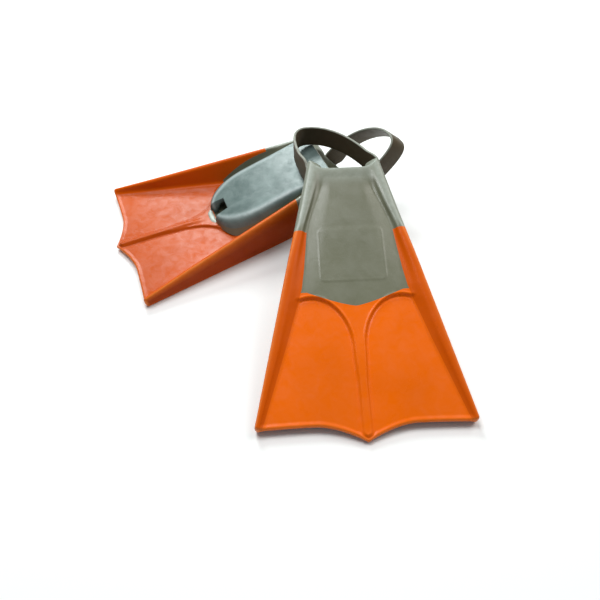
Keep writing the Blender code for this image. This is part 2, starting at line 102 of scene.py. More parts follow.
# Blade, with its panels, beads and centre rib.
BLADE_ROOT = 171.3
SEAM_SIDE = 154.3
SEAM_INSET = 7.5
BLADE_MIDDLE = (9.4, -1.7)
WEB_HALF = (4.4, 3.0)
EDGE_DIP = 1.5
EDGE_LIP = 0.7
EDGE_LIP_RUN = (2.0, 6.0)
EDGE_ROUND = 2.4
TIP_ROUND = 5.0
POINT_HALF = 50.0
PANEL_HALF = 2.0
PANEL_CROWN = 160.0
PANEL_BLEND = 5.0
PANEL_EDGE = 1.1
PANEL_MIDDLE = 218.0
SHOULDER_ROUND = 30.0
SHOULDER_TURN = math.radians(75.0)
LOW_ARCH_SHIFT = 10.5
LOW_ARCH_SIDES = (29.4, 61.25)
SIDE_STRIP = (16.0, 3.0)
STRIP_START = 175.0
RIB_SETBACK = 4.5
RIB_FLARE = 1.6
RIB_RISE = {1: 0.6, -1: 2.8}
RIB_RUN = (190.0, 225.0)
BEAD_RISE = 0.6
BEAD_WIDE = 0.8
BEAD_RUN = (150.0, 156.0)
BEAD_OUT = 1.6
GROOVE_IN = 1.3

# Foot opening with its ears and collar, and the plain plate on the instep.
RIM_MIDDLE = -0.6
RIM_HOLLOW = 13.5
EAR_HEIGHTS = (6.0, 20.0, 34.0, 95.0)
EAR_BACKS = (3.5, -4.0, -13.0, -15.0)
LIP_ROUND = 1.5
OPENING_HALF = 44.0
OPENING_TALL = 36.0
VALLEY_IN = (11.0, 32.0)
VALLEY_OUT = (95.0, 160.0)
COLLAR_RISE = 0.9
COLLAR_FADE = 5.0
COLLAR_DIP = 0.4
DIP_IN = (8.0, 24.0)
DIP_OUT = (30.0, 70.0)
PLATE_HALF = 31.0
PLATE_LONG = 26.0
PLATE_MIDDLE = 111.0
PLATE_ROUND = 5.0
PLATE_RISE = 0.2
PLATE_BEAD = 0.16

# Heel, sole, toe bulge and the hollow for the foot.
HEEL_Y = 25.4
HEEL_LOW = -31.0
SOLE_WIDE = 120.0
SOLE_TOE = 181.5
SOLE_BRIM = 3.0
SOLE_EDGE_ROUND = 9.0
SPINE_REACH = 30.0
BULGE_WIDE = 140.0
BULGE_TOE = 183.5
BULGE_SINK = 1.2
BULGE_TUCK = 3.0
FOOT_BALL = 95.0
FOOT_TOE = 172.5
FOOT_HALF = (37.5, 44.0)
FOOT_WALL = 4.5
FOOT_BED = 6.3
FOOT_POWER = 2.8

# Drain slot. The faces near it lie within the first of three limits in x, past the second in y and below the
# third in z.
DRAIN_HALF = 10.5
DRAIN_FLARE = 0.12
DRAIN_START = 161.6
DRAIN_ROOF = 4.45
DRAIN_DEEP = 5.6
DRAIN_TOP = 3.4
DRAIN_FALL_START = 177.5
DRAIN_FALL_END = 181.0
DRAIN_WALL_RUN = (167.0, 174.0)
DRAIN_TONGUE = (164.0, 191.0)
DRAIN_NEAR = (20.0, 150.0, 6.0)

# Heel straps, which widen towards their roots, and how the two fins lie.
STRAP_ROOT = (0.0, -4.0, 22.0)
STRAP_SPAN = 43.0
STRAP_END = 12.6
STRAP_POWER = 2.3
STRAP_EDGE_SHARE = 0.42
STRAP_WIDEN = {"up": 4.5, "down": -1.5}
STRAP_WIDEN_IN = (-34.0, -10.0)
STRAP_WIDEN_OUT = (-9.0, 0.0)
STRAP_SWAY = {"front": 36.6, "rear": 31.0}
STRAP_SWAY_POWER = {"front": 1.2, "rear": 2.0}
STRAP_TILT = {"front": math.radians(13.05), "rear": math.radians(43.0)}
FRONT_LEAN = math.radians(10.6377)
REAR_TURN = math.radians(109.0)

# Lanes of one half of the skin, from the middle line to the outer wall, with the number of steps in each.
# A rail begins two steps into the foot. Stations run from the rim by the colour change, the seam and the
# middle of the panels to the trailing edge.
LANES = (("floor", 64), ("foot", 8), ("wall", 7), ("shoulder", 8), ("ridge", 3), ("brow", 8), ("side", 8))
RAIL_LANE = LANES[0][1] + 2
STATIONS = (44, 60, 52, 56)

# Steps from the sole's middle line over its flat, its rounded edge and the bulge's wall.
# The sole's rubber ends three steps down the wall.
SOLE_FLAT = 24
SOLE_ROUND = 9
SOLE_WALL = 11
SOLE_STEPS = SOLE_FLAT + SOLE_ROUND + 3

# Points along the side of the bulge and round its toe, rings of the foot's hollow and steps round its lip.
BULGE_SIDE = 46
BULGE_TURN = 44
HOLLOW_RINGS = 40
LIP_STEPS = 8

# The rubber blanks: bloom, roughness, gloss and film, the colour of painted highlights on edges and rims, and
# the colour of painted shade on shaded faces.
RUBBERS = {
    # Foot pocket: firm and warm grey, satin from a blasted mould.
    "pocket": dict(name="pocket_grey_moulded_rubber", bloom="#8c8e80", bloom_most=0.12, roughness=0.33,
                   gloss=0.5, film_most=0.12, highlight_colour="#a2aaa0", highlight_most=0.8),
    # Sole: a cooler, paler grey that is scuffed smooth underfoot; the cool tint is a painted reflection of
    # the blue window light.
    "sole": dict(name="sole_grey_scuffed_rubber", bloom="#869794", bloom_most=0.4, roughness=0.34,
                 gloss=0.36, film_most=0.4, highlight_colour="#c2cfce", highlight_most=0.6),
    # Blade: stiff orange, polished by the mould, with a patchy film; its sole face is darkened with painted
    # shade.
    "blade": dict(name="blade_orange_moulded_rubber", bloom="#e06c28", bloom_most=0.12, roughness=0.3,
                  gloss=0.14, film_most=0.5, highlight_colour="#ee8438", highlight_most=0.6, shade_colour="#b84a04"),
    # Rails: the same orange, a touch deeper as painted shade, and darker still with painted shade on their
    # outer sides.
    "rail": dict(name="rail_orange_moulded_rubber", bloom="#c85c20", bloom_most=0.12, roughness=0.32,
                 gloss=0.09, film_most=0.2, highlight_colour="#ee8a40", highlight_most=0.7, shade_colour="#a03800"),
    # Heel strap: soft, dark and stretchy, duller than the fin.
    "strap": dict(name="strap_dark_soft_rubber", bloom="#5c5240", bloom_most=0.2, roughness=0.46,
                  gloss=0.22, film_most=0.2, highlight_colour="#a3a79d", highlight_most=0.8),
}


def linear(hex_colour):
    """Turns an sRGB hex colour into linear red, green and blue."""
    channels = [int(hex_colour[i:i + 2], 16) / 255.0 for i in (1, 3, 5)]
    return tuple(c / 12.92 if c <= 0.04045 else ((c + 0.055) / 1.055) ** 2.4 for c in channels)


def length(name, description, default):
    """A length in metres for the sidebar."""
    return bpy.props.FloatProperty(name=name, description=description, default=default,
                                   unit="LENGTH", precision=4)


def tint(name, description, default):
    """A colour for the sidebar."""
    return bpy.props.FloatVectorProperty(name=name, description=description, default=linear(default),
                                         size=3, subtype="COLOR", min=0.0, max=1.0)


class FinSizes(bpy.types.PropertyGroup):
    """Sizes of one fin; both fins of the pair are the same."""
    rim_half: length("Rim half width", "Half the width of the fin at the foot opening", 0.0452)
    tip_half: length("Tip half width", "Half the width of the blade at its tips", 0.111)
    side_length: length("Side length", "From the foot opening to the tips", 0.2975)
    centre_rise: length("Centre point", "How far the middle of the trailing edge stands out", 0.015)
    rail_top_rim: length("Rail top at rim", "Height of a rail's top edge at the foot opening", 0.0407)
    rail_top_tip: length("Rail top at tip", "Height of a rail's top edge at the tip", 0.0036)
    rail_low_rim: length("Rail bottom at rim", "Height of a rail's sole edge at the foot opening", -0.0318)
    rail_low_tip: length("Rail bottom at tip", "Height of a rail's sole edge at the tip", -0.0096)
    colour_cut: length("Colour change", "Where the rails change from grey to orange", 0.082)
    instep_rim: length("Instep at rim", "Height of the instep at the foot opening", 0.0392)
    valley_depth: length("Valley depth", "Depth of the valleys between the instep and the rails", 0.0016)
    collar_width: length("Collar width", "Width of the raised band round the foot opening", 0.009)
    rib_half: length("Rib half width", "Half the width of the blade's centre rib", 0.0046)
    panel_apex: length("Panel apex", "From the middle line to the crown of a panel's arch", 0.049)
    panel_rise: length("Panel arch", "Height of a panel's arch", 0.058)
    sole_half: length("Sole half width", "Half the width of the sole plate", 0.041)
    sole_heel: length("Sole level at heel", "Height of the sole at the heel", -0.0325)
    sole_toe: length("Sole level at toe", "Height of the sole at the toes", -0.006)
    strap_width: length("Strap width", "Width of the heel strap's band", 0.026)
    strap_thickness: length("Strap thickness", "Thickness of the heel strap's band", 0.0034)
    strap_reach: length("Strap reach", "How far the heel strap stands out behind its roots", 0.09)


class FinColours(bpy.types.PropertyGroup):
    """Colours of the rubber blanks and of the stage."""
    pocket: tint("Foot pocket", "Grey rubber of the foot pocket", "#676853")
    # The sole's cool blue tint is a painted reflection of the window light.
    sole: tint("Sole", "Lighter grey rubber of the sole", "#546461")
    blade: tint("Blade", "Orange rubber of the blade", "#e46300")
    # The rails' orange is deeper than the blade's as painted shade.
    rail: tint("Rails", "Orange rubber of the side rails", "#cc5300")
    strap: tint("Strap", "Dark grey rubber of the heel strap", "#4e4331")
    floor: tint("Floor", "Pale floor", "#f4f4f3")


def mix(a, b, t):
    return a + (b - a) * t


def share(value, start, end):
    """How far a value lies from start to end, held between 0 and 1."""
    return np.clip((value - start) / (end - start), 0.0, 1.0)


def ramp(value, start, end):
    """A smooth step from 0 at start to 1 at end."""
    t = share(value, start, end)
    return t * t * (3.0 - 2.0 * t)


def bend(first, corner, last, t):
    """A rounded corner from first to last, as a quadratic curve."""
    return (1.0 - t) ** 2 * first + 2.0 * t * (1.0 - t) * corner + t * t * last


def oval(cos, sin, power):
    """Radius of a squared-off oval in the direction of a cosine and sine."""
    return (np.abs(cos) ** power + np.abs(sin) ** power) ** (-1.0 / power)


def inside_distance(x, y, outline):
    """Signed distance to a closed outline, positive inside."""
    best = np.full(x.shape, 1e9)
    inside = np.zeros(x.shape, dtype=bool)
    for (ax, ay), (bx, by) in zip(outline, np.roll(outline, -1, axis=0)):
        ex, ey = bx - ax, by - ay
        t = np.clip(((x - ax) * ex + (y - ay) * ey) / max(ex * ex + ey * ey, 1e-12), 0.0, 1.0)
        best = np.minimum(best, np.hypot(x - ax - t * ex, y - ay - t * ey))
        if ay != by:
            inside ^= ((ay > y) != (by > y)) & (x < ax + (y - ay) * ex / ey)
    return np.where(inside, best, -best)


class FinShape:
    """The moulded form of one fin, in millimetres in the fin's own frame."""

    def __init__(self, sizes):
        for name in FinSizes.__annotations__:
            setattr(self, name, getattr(sizes, name) * 1000.0)
        self.panels = {face: self.panel_outline(face) for face in (1, -1)}

    def half_width(self, y):
        return mix(self.rim_half, self.tip_half, y / self.side_length)

    def rail_edge(self, y, face):
        """Height of a rail's edge on one face."""
        top, low = (self.rail_top_rim, self.rail_top_tip), (self.rail_low_rim, self.rail_low_tip)
        return mix(*(top if face > 0 else low), y / self.side_length)

    def rail_foot(self, y, face):
        """Half the distance between the rails' feet."""
        wide = np.interp(y, (0.0, self.colour_cut, RAIL_BEND, self.side_length), RAIL_WIDTHS)
        inner = self.half_width(y) - wide
        if face > 0:
            return inner - TUBE_SPREAD * (1.0 - ramp(y, *TUBE_RUN))
        edge = np.minimum(LOW_EDGE, 0.6 * wide)
        return np.maximum(inner, np.minimum(self.half_width(y) - edge - 1.0, self.sole_half + GUTTER))

    def blade_middle(self, y):
        return mix(*BLADE_MIDDLE, (y - BLADE_ROOT) / (self.side_length - BLADE_ROOT))

    def web_half(self, y):
        return mix(*WEB_HALF, share(y, BLADE_ROOT, self.side_length))

    def instep(self, y):
        """Level of the instep, which falls straight to the root of the blade."""
        root = self.blade_middle(BLADE_ROOT) + self.web_half(BLADE_ROOT)
        return np.maximum(mix(self.instep_rim, root, y / BLADE_ROOT), self.blade_middle(y) + self.web_half(y))

    def sole_level(self, y):
        return mix(self.sole_heel, self.sole_toe, share(y, HEEL_Y, SOLE_TOE) ** 1.35)

    def low_floor(self, y):
        """The sole side between the bulge and the rails, and the underside of the blade."""
        return mix(HEEL_LOW, self.blade_middle(y) - self.web_half(y), share(y, HEEL_Y, RAIL_BEND) ** 1.3)

    def bulge_half(self, y):
        return self.rail_foot(np.minimum(y, BULGE_WIDE), -1) - RAIL_LEDGE

    def trailing_edge(self, x):
        """The end of the blade: a shallow scallop on each side of a point, and rounded tips."""
        side = np.abs(x)
        edge = self.side_length - EDGE_DIP * np.sin(math.pi * np.minimum(side / self.tip_half, 1.0))
        edge = edge + self.centre_rise * (1.0 - np.minimum(side / POINT_HALF, 1.0)) ** 1.7
        corner = np.clip((side - self.tip_half + TIP_ROUND) / TIP_ROUND, 0.0, 0.999)
        return edge - TIP_ROUND * (1.0 - np.sqrt(1.0 - corner * corner))

    def top_seam(self, x):
        """Where the grey instep ends on the blade."""
        wide = self.rail_foot(np.float64(RAIL_BEND), 1) - SEAM_INSET
        return mix(BLADE_ROOT, SEAM_SIDE, np.minimum(np.abs(x) / wide, 1.0) ** 1.3)

    def rim_edge(self, x):
        """The rim of the instep, which runs back to an ear on each side."""
        return RIM_MIDDLE - RIM_HOLLOW * np.minimum(np.abs(x) / self.sole_half, 1.0) ** 6

    def start(self, x, z):
        """Where the skin starts at the foot opening: the hollowed rim, the ears and the slanted heel."""
        t = share(z, self.sole_heel + 3.0, EAR_HEIGHTS[0])
        heel = np.where(z < EAR_HEIGHTS[0], mix(HEEL_Y, EAR_BACKS[0], 1.0 - (1.0 - t) ** 1.8),
                        np.interp(z, EAR_HEIGHTS, EAR_BACKS))
        rim = np.where((np.abs(x) < self.sole_half) & (z > 10.0), self.rim_edge(x), -20.0)
        return np.maximum(heel, rim) + LIP_ROUND

    def panel_outline(self, face):
        """One blade panel: along the rounded rib, over its arch and out under the rail."""
        rib_end = self.side_length + self.centre_rise - RIB_SETBACK
        past_end = rib_end + 40.0
        past_rail = self.tip_half + 39.0
        past_middle = -9.0
        arch = PANEL_CROWN + self.panel_rise
        points = [(past_middle, past_end), (past_middle, rib_end)]
        for turn in np.linspace(0.0, math.pi / 2, 8):
            points.append((self.rib_half * math.sin(turn), rib_end - self.rib_half * (1.0 - math.cos(turn))))
        for y in np.linspace(rib_end - 12.0, arch, 24):
            points.append((self.rib_half + RIB_FLARE * float(ramp(y, arch + 40.0, arch)), y))
        for turn in np.linspace(0.0, math.pi / 2, 28)[1:]:
            x = self.panel_apex - (self.panel_apex - self.rib_half - RIB_FLARE) * math.cos(turn)
            points.append((x, arch - self.panel_rise * math.sin(turn)))
        for turn in np.linspace(0.0, SHOULDER_TURN, 14)[1:]:
            points.append((self.panel_apex + SHOULDER_ROUND * math.sin(turn),
                           arch - self.panel_rise + SHOULDER_ROUND * (1.0 - math.cos(turn))))
        points += [(past_rail, arch), (past_rail, past_end)]
        outline = np.array(points)
        if face < 0:
            near = outline[:, 1] < arch + 30.0
            shift = LOW_ARCH_SHIFT * (1.0 - 0.6 * ramp(outline[near, 0], *LOW_ARCH_SIDES))
            outline[near, 1] += shift * ramp(outline[near, 1], arch + 30.0, arch - 10.0)
        return outline

    def side_strip(self, y):
        """Width of the sloping strip between a rail and the panel, on the sole side."""
        return mix(*SIDE_STRIP, share(y, STRIP_START, self.side_length))

    def panel_sink(self, x, y, face):
        """How far a point lies in from a panel's edge, and how much of that edge is the moulded arch."""
        side, y = np.broadcast_arrays(np.abs(x), y)
        arch = np.full(side.shape, -20.0)
        blade = y > BULGE_WIDE
        arch[blade] = inside_distance(side[blade], y[blade], self.panels[face])
        margin = RAIL_LEDGE if face > 0 else self.side_strip(y)
        strip = self.rail_foot(y, face) - margin - side
        soft = np.clip(0.5 + 0.5 * (strip - arch) / PANEL_BLEND, 0.0, 1.0)
        return mix(strip, arch, soft) - PANEL_BLEND * soft * (1.0 - soft), soft

    def instep_face(self, x, y):
        """Level of the top face before its panels: the domed instep, its collar and the plain plate on it."""
        side = np.abs(x)
        across = side / self.rail_foot(y, 1)
        behind = y - self.rim_edge(x)
        valley = ramp(behind, *VALLEY_IN) * (1.0 - ramp(y, *VALLEY_OUT))
        dome = 0.35 * across ** 2 + 0.65 * ramp(across, 0.55, 1.0)
        level = self.instep(y) - self.valley_depth * valley * dome
        collar = 1.0 - ramp(behind, self.collar_width - COLLAR_FADE, self.collar_width + COLLAR_FADE)
        dip = ramp(behind, *DIP_IN) * (1.0 - ramp(behind, *DIP_OUT))
        level = level + COLLAR_RISE * collar - COLLAR_DIP * dip
        past_side = np.maximum(side - PLATE_HALF, 0.0)
        past_end = np.maximum(np.abs(y - PLATE_MIDDLE) - PLATE_LONG, 0.0)
        plate = np.hypot(past_side, past_end) - PLATE_ROUND
        return level + PLATE_RISE * (1.0 - ramp(plate, -0.8, 0.8)) + PLATE_BEAD * np.exp(-(plate / 0.9) ** 2)

    def floor(self, x, y, face):
        """Level of the instep and blade between the rails, with the rib, the panels and their beads."""
        level = self.instep_face(x, y) if face > 0 else self.low_floor(y)
        inside, arched = self.panel_sink(x, y, face)
        panel = self.blade_middle(y) + face * PANEL_HALF
        crown = np.maximum(1.0 - (np.abs(x) / self.rib_half) ** 2, 0.0) * ramp(y, *RIB_RUN)
        level = level + face * crown * RIB_RISE[face] * ramp(-inside, 0.0, 2.5)
        slope = PANEL_EDGE if face > 0 else mix(0.8 * self.side_strip(y), PANEL_EDGE, arched)
        level = mix(level, panel, ramp(inside, -slope, 0.9))
        bead = BEAD_RISE * np.exp(-((inside + BEAD_OUT) / BEAD_WIDE) ** 2)
        groove = BEAD_RISE * np.exp(-((inside - GROOVE_IN) / BEAD_WIDE) ** 2)
        lip = EDGE_LIP * (1.0 - ramp(self.trailing_edge(x) - y, *EDGE_LIP_RUN))
        return level + face * (arched * ramp(y, *BEAD_RUN) * (bead - groove) + lip)

    def section(self, face, lane, t, y):
        """Across the skin: x and z of a lane at its share t, for stations y."""
        wide = self.half_width(y)
        foot = self.rail_foot(y, face)
        edge = self.rail_edge(y, face)
        orange = ramp(y, *RAIL_RUN)
        crown = mix(*RAIL_CROWN[face], ramp(y, *CROWN_RUN))
        crest = np.minimum(crown, mix(*CREST_SHARE, orange) * (wide - foot))
        turn = mix(*TURN_SHARE, orange) * crest
        middle = 0.5 * (self.rail_edge(y, 1) + self.rail_edge(y, -1))
        drop = np.minimum(mix(*RAIL_DROP[face], orange), 0.7 * np.abs(edge - middle))
        outer = np.minimum(mix(*RAIL_BROW[face], orange), crest - turn)
        base = self.floor(foot, y, face)
        run = wide - crest - foot
        rise = edge - base
        slope = np.hypot(run, rise)
        near = np.minimum(mix(*RAIL_FILLET, ramp(y, *FILLET_RUN)), 0.5 * slope)
        inner = near + (FILLET_EXTRA * ramp(y, *FILLET_EXTRA_RUN) if face > 0 else 0.0)
        up_x, up_z = run / slope, rise / slope
        cut = np.minimum(turn, 0.4 * slope)
        if lane == "floor":
            x = t * (foot - inner)
            return x, self.floor(x, y, face)
        if lane == "foot":
            start = self.floor(foot - inner, y, face)
            return bend(foot - inner, foot, foot + near * up_x, t), bend(start, base, base + near * up_z, t)
        if lane == "wall":
            step = mix(near / slope, 1.0 - cut / slope, t)
            return foot + run * step, base + rise * step
        if lane == "shoulder":
            x = bend(wide - crest - cut * up_x, wide - crest, wide - crest + turn, t)
            return x, bend(edge - cut * up_z, edge, edge, t)
        if lane == "ridge":
            return mix(wide - crest + turn, wide - outer, t), edge + 0.0 * t
        if lane == "brow":
            return bend(wide - outer, wide, wide, t), bend(edge, edge, edge - face * drop, t)
        return wide + 0.0 * t, mix(edge - face * drop, middle, t)

    def hollow(self, y, cos, sin):
        """The foot's hollow at station y, for a direction round it."""
        root = self.blade_middle(BLADE_ROOT) + self.web_half(BLADE_ROOT)
        top = mix(self.instep_rim, root, y / BLADE_ROOT) - FOOT_WALL
        low = self.sole_level(y) + FOOT_BED
        half = mix(*FOOT_HALF, ramp(y, 0.0, FOOT_BALL))
        shrink = np.sqrt(1.0 - 0.98 * share(y, FOOT_BALL, FOOT_TOE + 2.0) ** 2.6)
        reach = oval(cos, sin, FOOT_POWER)
        tall = 0.5 * (top - low) * (0.35 + 0.65 * shrink)
        return half * shrink * reach * cos, 0.5 * (top + low) + tall * reach * sin


class Patch:
    """Points, faces and painted edge highlights of a stretch of skin, and how much painted shade it has all
    over.
    """
    painted_shade = 0.0

    def __init__(self, points, faces, painted_highlight=None):
        self.points = np.asarray(points, dtype=float)
        self.faces = faces
        self.painted_highlight = np.zeros(len(self.points)) if painted_highlight is None else np.asarray(painted_highlight, dtype=float)


def grid_patch(points, keep=None, flip=False, painted_highlight=None):
    """Faces of a grid of points, all of them or where keep is true."""
    rows, columns = points.shape[:2]
    index = np.arange(rows * columns).reshape(rows, columns)
    quads = np.stack([index[:-1, :-1], index[1:, :-1], index[1:, 1:], index[:-1, 1:]], axis=-1)
    quads = quads.reshape(-1, 4) if keep is None else quads[keep]
    if flip:
        quads = quads[:, ::-1]
    return Patch(points.reshape(-1, 3), quads, None if painted_highlight is None else painted_highlight.reshape(-1))


def spread_stations(marks):
    """Stations between the marks along the fin, closer together at the rim and at the trailing edge."""
    stretches = []
    for number, steps in enumerate(STATIONS):
        s = np.linspace(0.0, 1.0, steps + 1)[None, :]
        if number == 0:
            s = s ** 1.3
        if number == len(STATIONS) - 1:
            s = 1.0 - (1.0 - s) ** 1.6
        else:
            s = s[:, :-1]
        stretches.append(mix(marks[number], marks[number + 1], s))
    return np.concatenate(stretches, axis=1)


def half_sheet(fin, face):
    """Points of one half of the skin on the top face or the sole face, by lane and station.

    The short loops settle where a lane meets the rim, the trailing edge and the seam.
    """
    rows = []
    for position, (lane, steps) in enumerate(LANES):
        last = position == len(LANES) - 1
        t = np.linspace(0.0, 1.0, steps + 1)[:None if last else -1][:, None]
        begin = np.zeros_like(t)
        for _ in range(8):
            x, z = fin.section(face, lane, t, begin)
            begin = 0.5 * begin + 0.5 * fin.start(x, z)
        end = np.full_like(t, fin.side_length)
        for _ in range(24):
            end = 0.5 * end + 0.5 * fin.trailing_edge(fin.section(face, lane, t, end)[0])
        cut = np.full_like(t, fin.colour_cut)
        seam = np.full_like(t, SEAM_SIDE)
        if face > 0 and lane == "floor":
            for _ in range(8):
                seam = fin.top_seam(fin.section(face, lane, t, seam)[0])
        if face < 0 and lane in ("floor", "foot"):
            cut = np.full_like(t, RAIL_BEND)
        if face < 0 and lane == "wall":
            cut = mix(RAIL_BEND, fin.colour_cut, t)
        y = spread_stations((begin, cut, seam, np.full_like(t, PANEL_MIDDLE), end))
        x, z = fin.section(face, lane, t, y)
        other = fin.section(-face, lane, t, y)[1]
        tip = share(y, end - EDGE_ROUND, end)
        middle = 0.5 * (z + other)
        z = middle + (z - middle) * np.sqrt(np.maximum(1.0 - tip ** 2.2, 0.0))
        rows.append(np.stack([x + 0.0 * y, y, z], axis=-1))
    return np.concatenate(rows, axis=0)


def mirrored(points):
    """The same points on the other side of the middle line."""
    return points * (-1.0, 1.0, 1.0)


def painted_light_masks(fin, face, sheet, across):
    """Painted highlights along the rails' crests, on the collar and at the trailing edge, and the rails'
    outer sides that get painted shade.
    """
    steps = dict(LANES)
    shoulder = steps["floor"] + steps["foot"] + steps["wall"]
    brow = shoulder + steps["shoulder"] + steps["ridge"] + steps["brow"]
    orange = ramp(sheet[..., 1], fin.colour_cut - 12.0, fin.colour_cut)
    from_crest = np.abs(across[:, None] - 0.5 * (shoulder + brow) - 3.5 * orange)
    from_crest = from_crest / (0.5 * (brow - shoulder) + 1.0)
    painted_highlight = np.clip(1.0 - from_crest, 0.0, 1.0) ** mix(1.0, 3.0, orange)
    if face > 0:
        behind = sheet[..., 1] - fin.rim_edge(sheet[..., 0])
        collar = 0.55 * (1.0 - ramp(behind, 9.0, 26.0)) + 0.45 * (1.0 - ramp(behind, 2.0, 4.5))
        painted_highlight = np.maximum(painted_highlight, collar)
    from_end = sheet[:, -1:, 1] - sheet[..., 1]
    painted_highlight = np.maximum(painted_highlight, 1.0 - share(from_end, 0.5, 3.0))
    # The rails' outer sides, which are darkened with painted shade.
    outside = np.repeat(ramp(across, brow - 5.0, brow + 1.0)[:, None], sheet.shape[1], axis=1)
    return painted_highlight, outside


def skin(fin, face):
    """The skin of one face, the masks of the pieces on it, and its painted highlights and the mask of its
    painted shade.
    """
    half = half_sheet(fin, face)
    sheet = np.concatenate([mirrored(half[:0:-1]), half], axis=0)
    across = np.abs(np.arange(len(sheet)) - (len(half) - 1))
    lane = np.minimum(across[:-1], across[1:])[:, None]
    station = np.arange(sheet.shape[1] - 1)[None, :]
    cut = STATIONS[0]
    seam = STATIONS[0] + STATIONS[1]
    on_rail = lane >= RAIL_LANE
    if face > 0:
        pocket = np.where(on_rail, station < cut, station < seam)
        hidden = np.zeros_like(pocket)
    else:
        pocket = (station < cut) & (lane >= 0)
        centre = 0.25 * (sheet[:-1, :-1] + sheet[1:, :-1] + sheet[:-1, 1:] + sheet[1:, 1:])
        under = share(centre[..., 1], BULGE_WIDE, BULGE_TOE)
        limit = fin.bulge_half(centre[..., 1]) * np.sqrt(1.0 - under ** 2.28)
        behind_toe = centre[..., 1] < BULGE_TOE - BULGE_TUCK
        hidden = (np.abs(centre[..., 0]) < limit - BULGE_TUCK) & behind_toe & ~on_rail
    painted_highlight, outside = painted_light_masks(fin, face, sheet, across)
    return {"sheet": sheet, "half": half, "pocket": pocket & ~hidden, "blade": ~pocket & ~on_rail & ~hidden,
            "rail": ~pocket & on_rail, "painted_highlight": painted_highlight, "outside": outside, "flip": face < 0}


def sole_loft(fin):
    """Points of the toe bulge with the sole on it, round its outline and from its middle line to its foot."""
    rows = []
    side = [(t, 0.0) for t in np.linspace(0.0, 1.0, BULGE_SIDE)]
    toe = [(1.0, turn) for turn in np.linspace(0.0, math.pi / 2, BULGE_TURN)[1:]]
    for along, turn in side + toe:
        reach = math.sin(turn) ** (2.0 / 2.3)
        foot_y = mix(HEEL_Y, BULGE_WIDE, along) + (BULGE_TOE - BULGE_WIDE) * reach
        edge_y = mix(HEEL_Y, SOLE_WIDE, along) + (SOLE_TOE + 0.8 - SOLE_WIDE) * reach
        spine_y = mix(HEEL_Y, SOLE_WIDE, along) + SPINE_REACH * math.sin(turn)
        foot_x = float(fin.bulge_half(np.float64(foot_y))) * math.cos(turn)
        edge_x = min((fin.sole_half + SOLE_BRIM) * math.cos(turn), max(foot_x - 0.5, 0.0))
        spine = np.array((0.0, spine_y, fin.sole_level(spine_y)))
        edge = np.array((edge_x, edge_y, fin.sole_level(edge_y)))
        foot = np.array((foot_x, foot_y, float(fin.low_floor(np.float64(foot_y))) + BULGE_SINK))
        drop = foot - edge
        top = spine - edge
        round_in = min(SOLE_EDGE_ROUND, 0.45 * np.linalg.norm(drop), 0.4 * np.linalg.norm(top))
        start = edge + top / np.linalg.norm(top) * round_in
        stop = edge + drop / np.linalg.norm(drop) * round_in
        row = []
        for t in np.linspace(0.0, 1.0, SOLE_FLAT + 1)[:-1]:
            x, y, _ = mix(spine, start, t)
            row.append((x, y, float(fin.sole_level(y))))
        row += [tuple(bend(start, edge, stop, t)) for t in np.linspace(0.0, 1.0, SOLE_ROUND + 1)[:-1]]
        row += [tuple(mix(stop, foot, t)) for t in np.linspace(0.0, 1.0, SOLE_WALL + 1)]
        rows.append(row)
    half = np.array(rows)
    return np.concatenate([half, mirrored(half[-2::-1])], axis=0)


def rim_loop(top, low, bulge):
    """The outer edge of the foot opening, once round."""
    right = low["half"][RAIL_LANE:-1, 0][::-1]
    left = mirrored(right[::-1])
    return np.concatenate([top["sheet"][:, 0], right, bulge[0][::-1], bulge[-1][1:], left], axis=0)


def hollow_grid(outer, fin):
    """Points of the foot opening's rounded lip and of the hollow for the foot behind it, with a painted
    highlight on the lip.
    """
    middle = 0.5 * (fin.instep_rim + fin.sole_heel)
    angle = np.arctan2((outer[:, 2] - middle) / OPENING_TALL, outer[:, 0] / OPENING_HALF)
    cos, sin = np.cos(angle), np.sin(angle)
    rings = []
    for t in np.linspace(0.0, 1.0, HOLLOW_RINGS):
        y = mix(outer[:, 1], FOOT_TOE, t)
        x, z = fin.hollow(y, cos, sin)
        rings.append(np.stack([x, y, z], axis=-1))
    tip = np.repeat(rings[-1].mean(axis=0)[None, :], len(outer), axis=0)
    rings.append(tip)
    inner = rings[0]
    lip = []
    for turn in np.linspace(0.0, math.pi, LIP_STEPS + 1)[:-1]:
        point = 0.5 * (outer + inner) + 0.5 * (outer - inner) * math.cos(turn)
        point[:, 1] -= LIP_ROUND * math.sin(turn)
        lip.append(point)
    grid = np.stack([np.concatenate([ring, ring[:1]], axis=0) for ring in lip + rings], axis=0)
    painted_highlight = np.zeros(grid.shape[:2])
    # A painted highlight on the rounded lip.
    painted_highlight[1:len(lip)] = 0.6
    return grid, painted_highlight


def drain_half(y):
    """Half the width of the drain slot, which opens a little towards the toes."""
    return DRAIN_HALF + DRAIN_FLARE * (y - DRAIN_START)


def drain_roof(y, gap):
    """Level of the drain slot's roof with a gap to it, which comes down to the blade at the toes."""
    return DRAIN_ROOF + gap + DRAIN_DEEP * ramp(y, DRAIN_FALL_END, DRAIN_FALL_START)


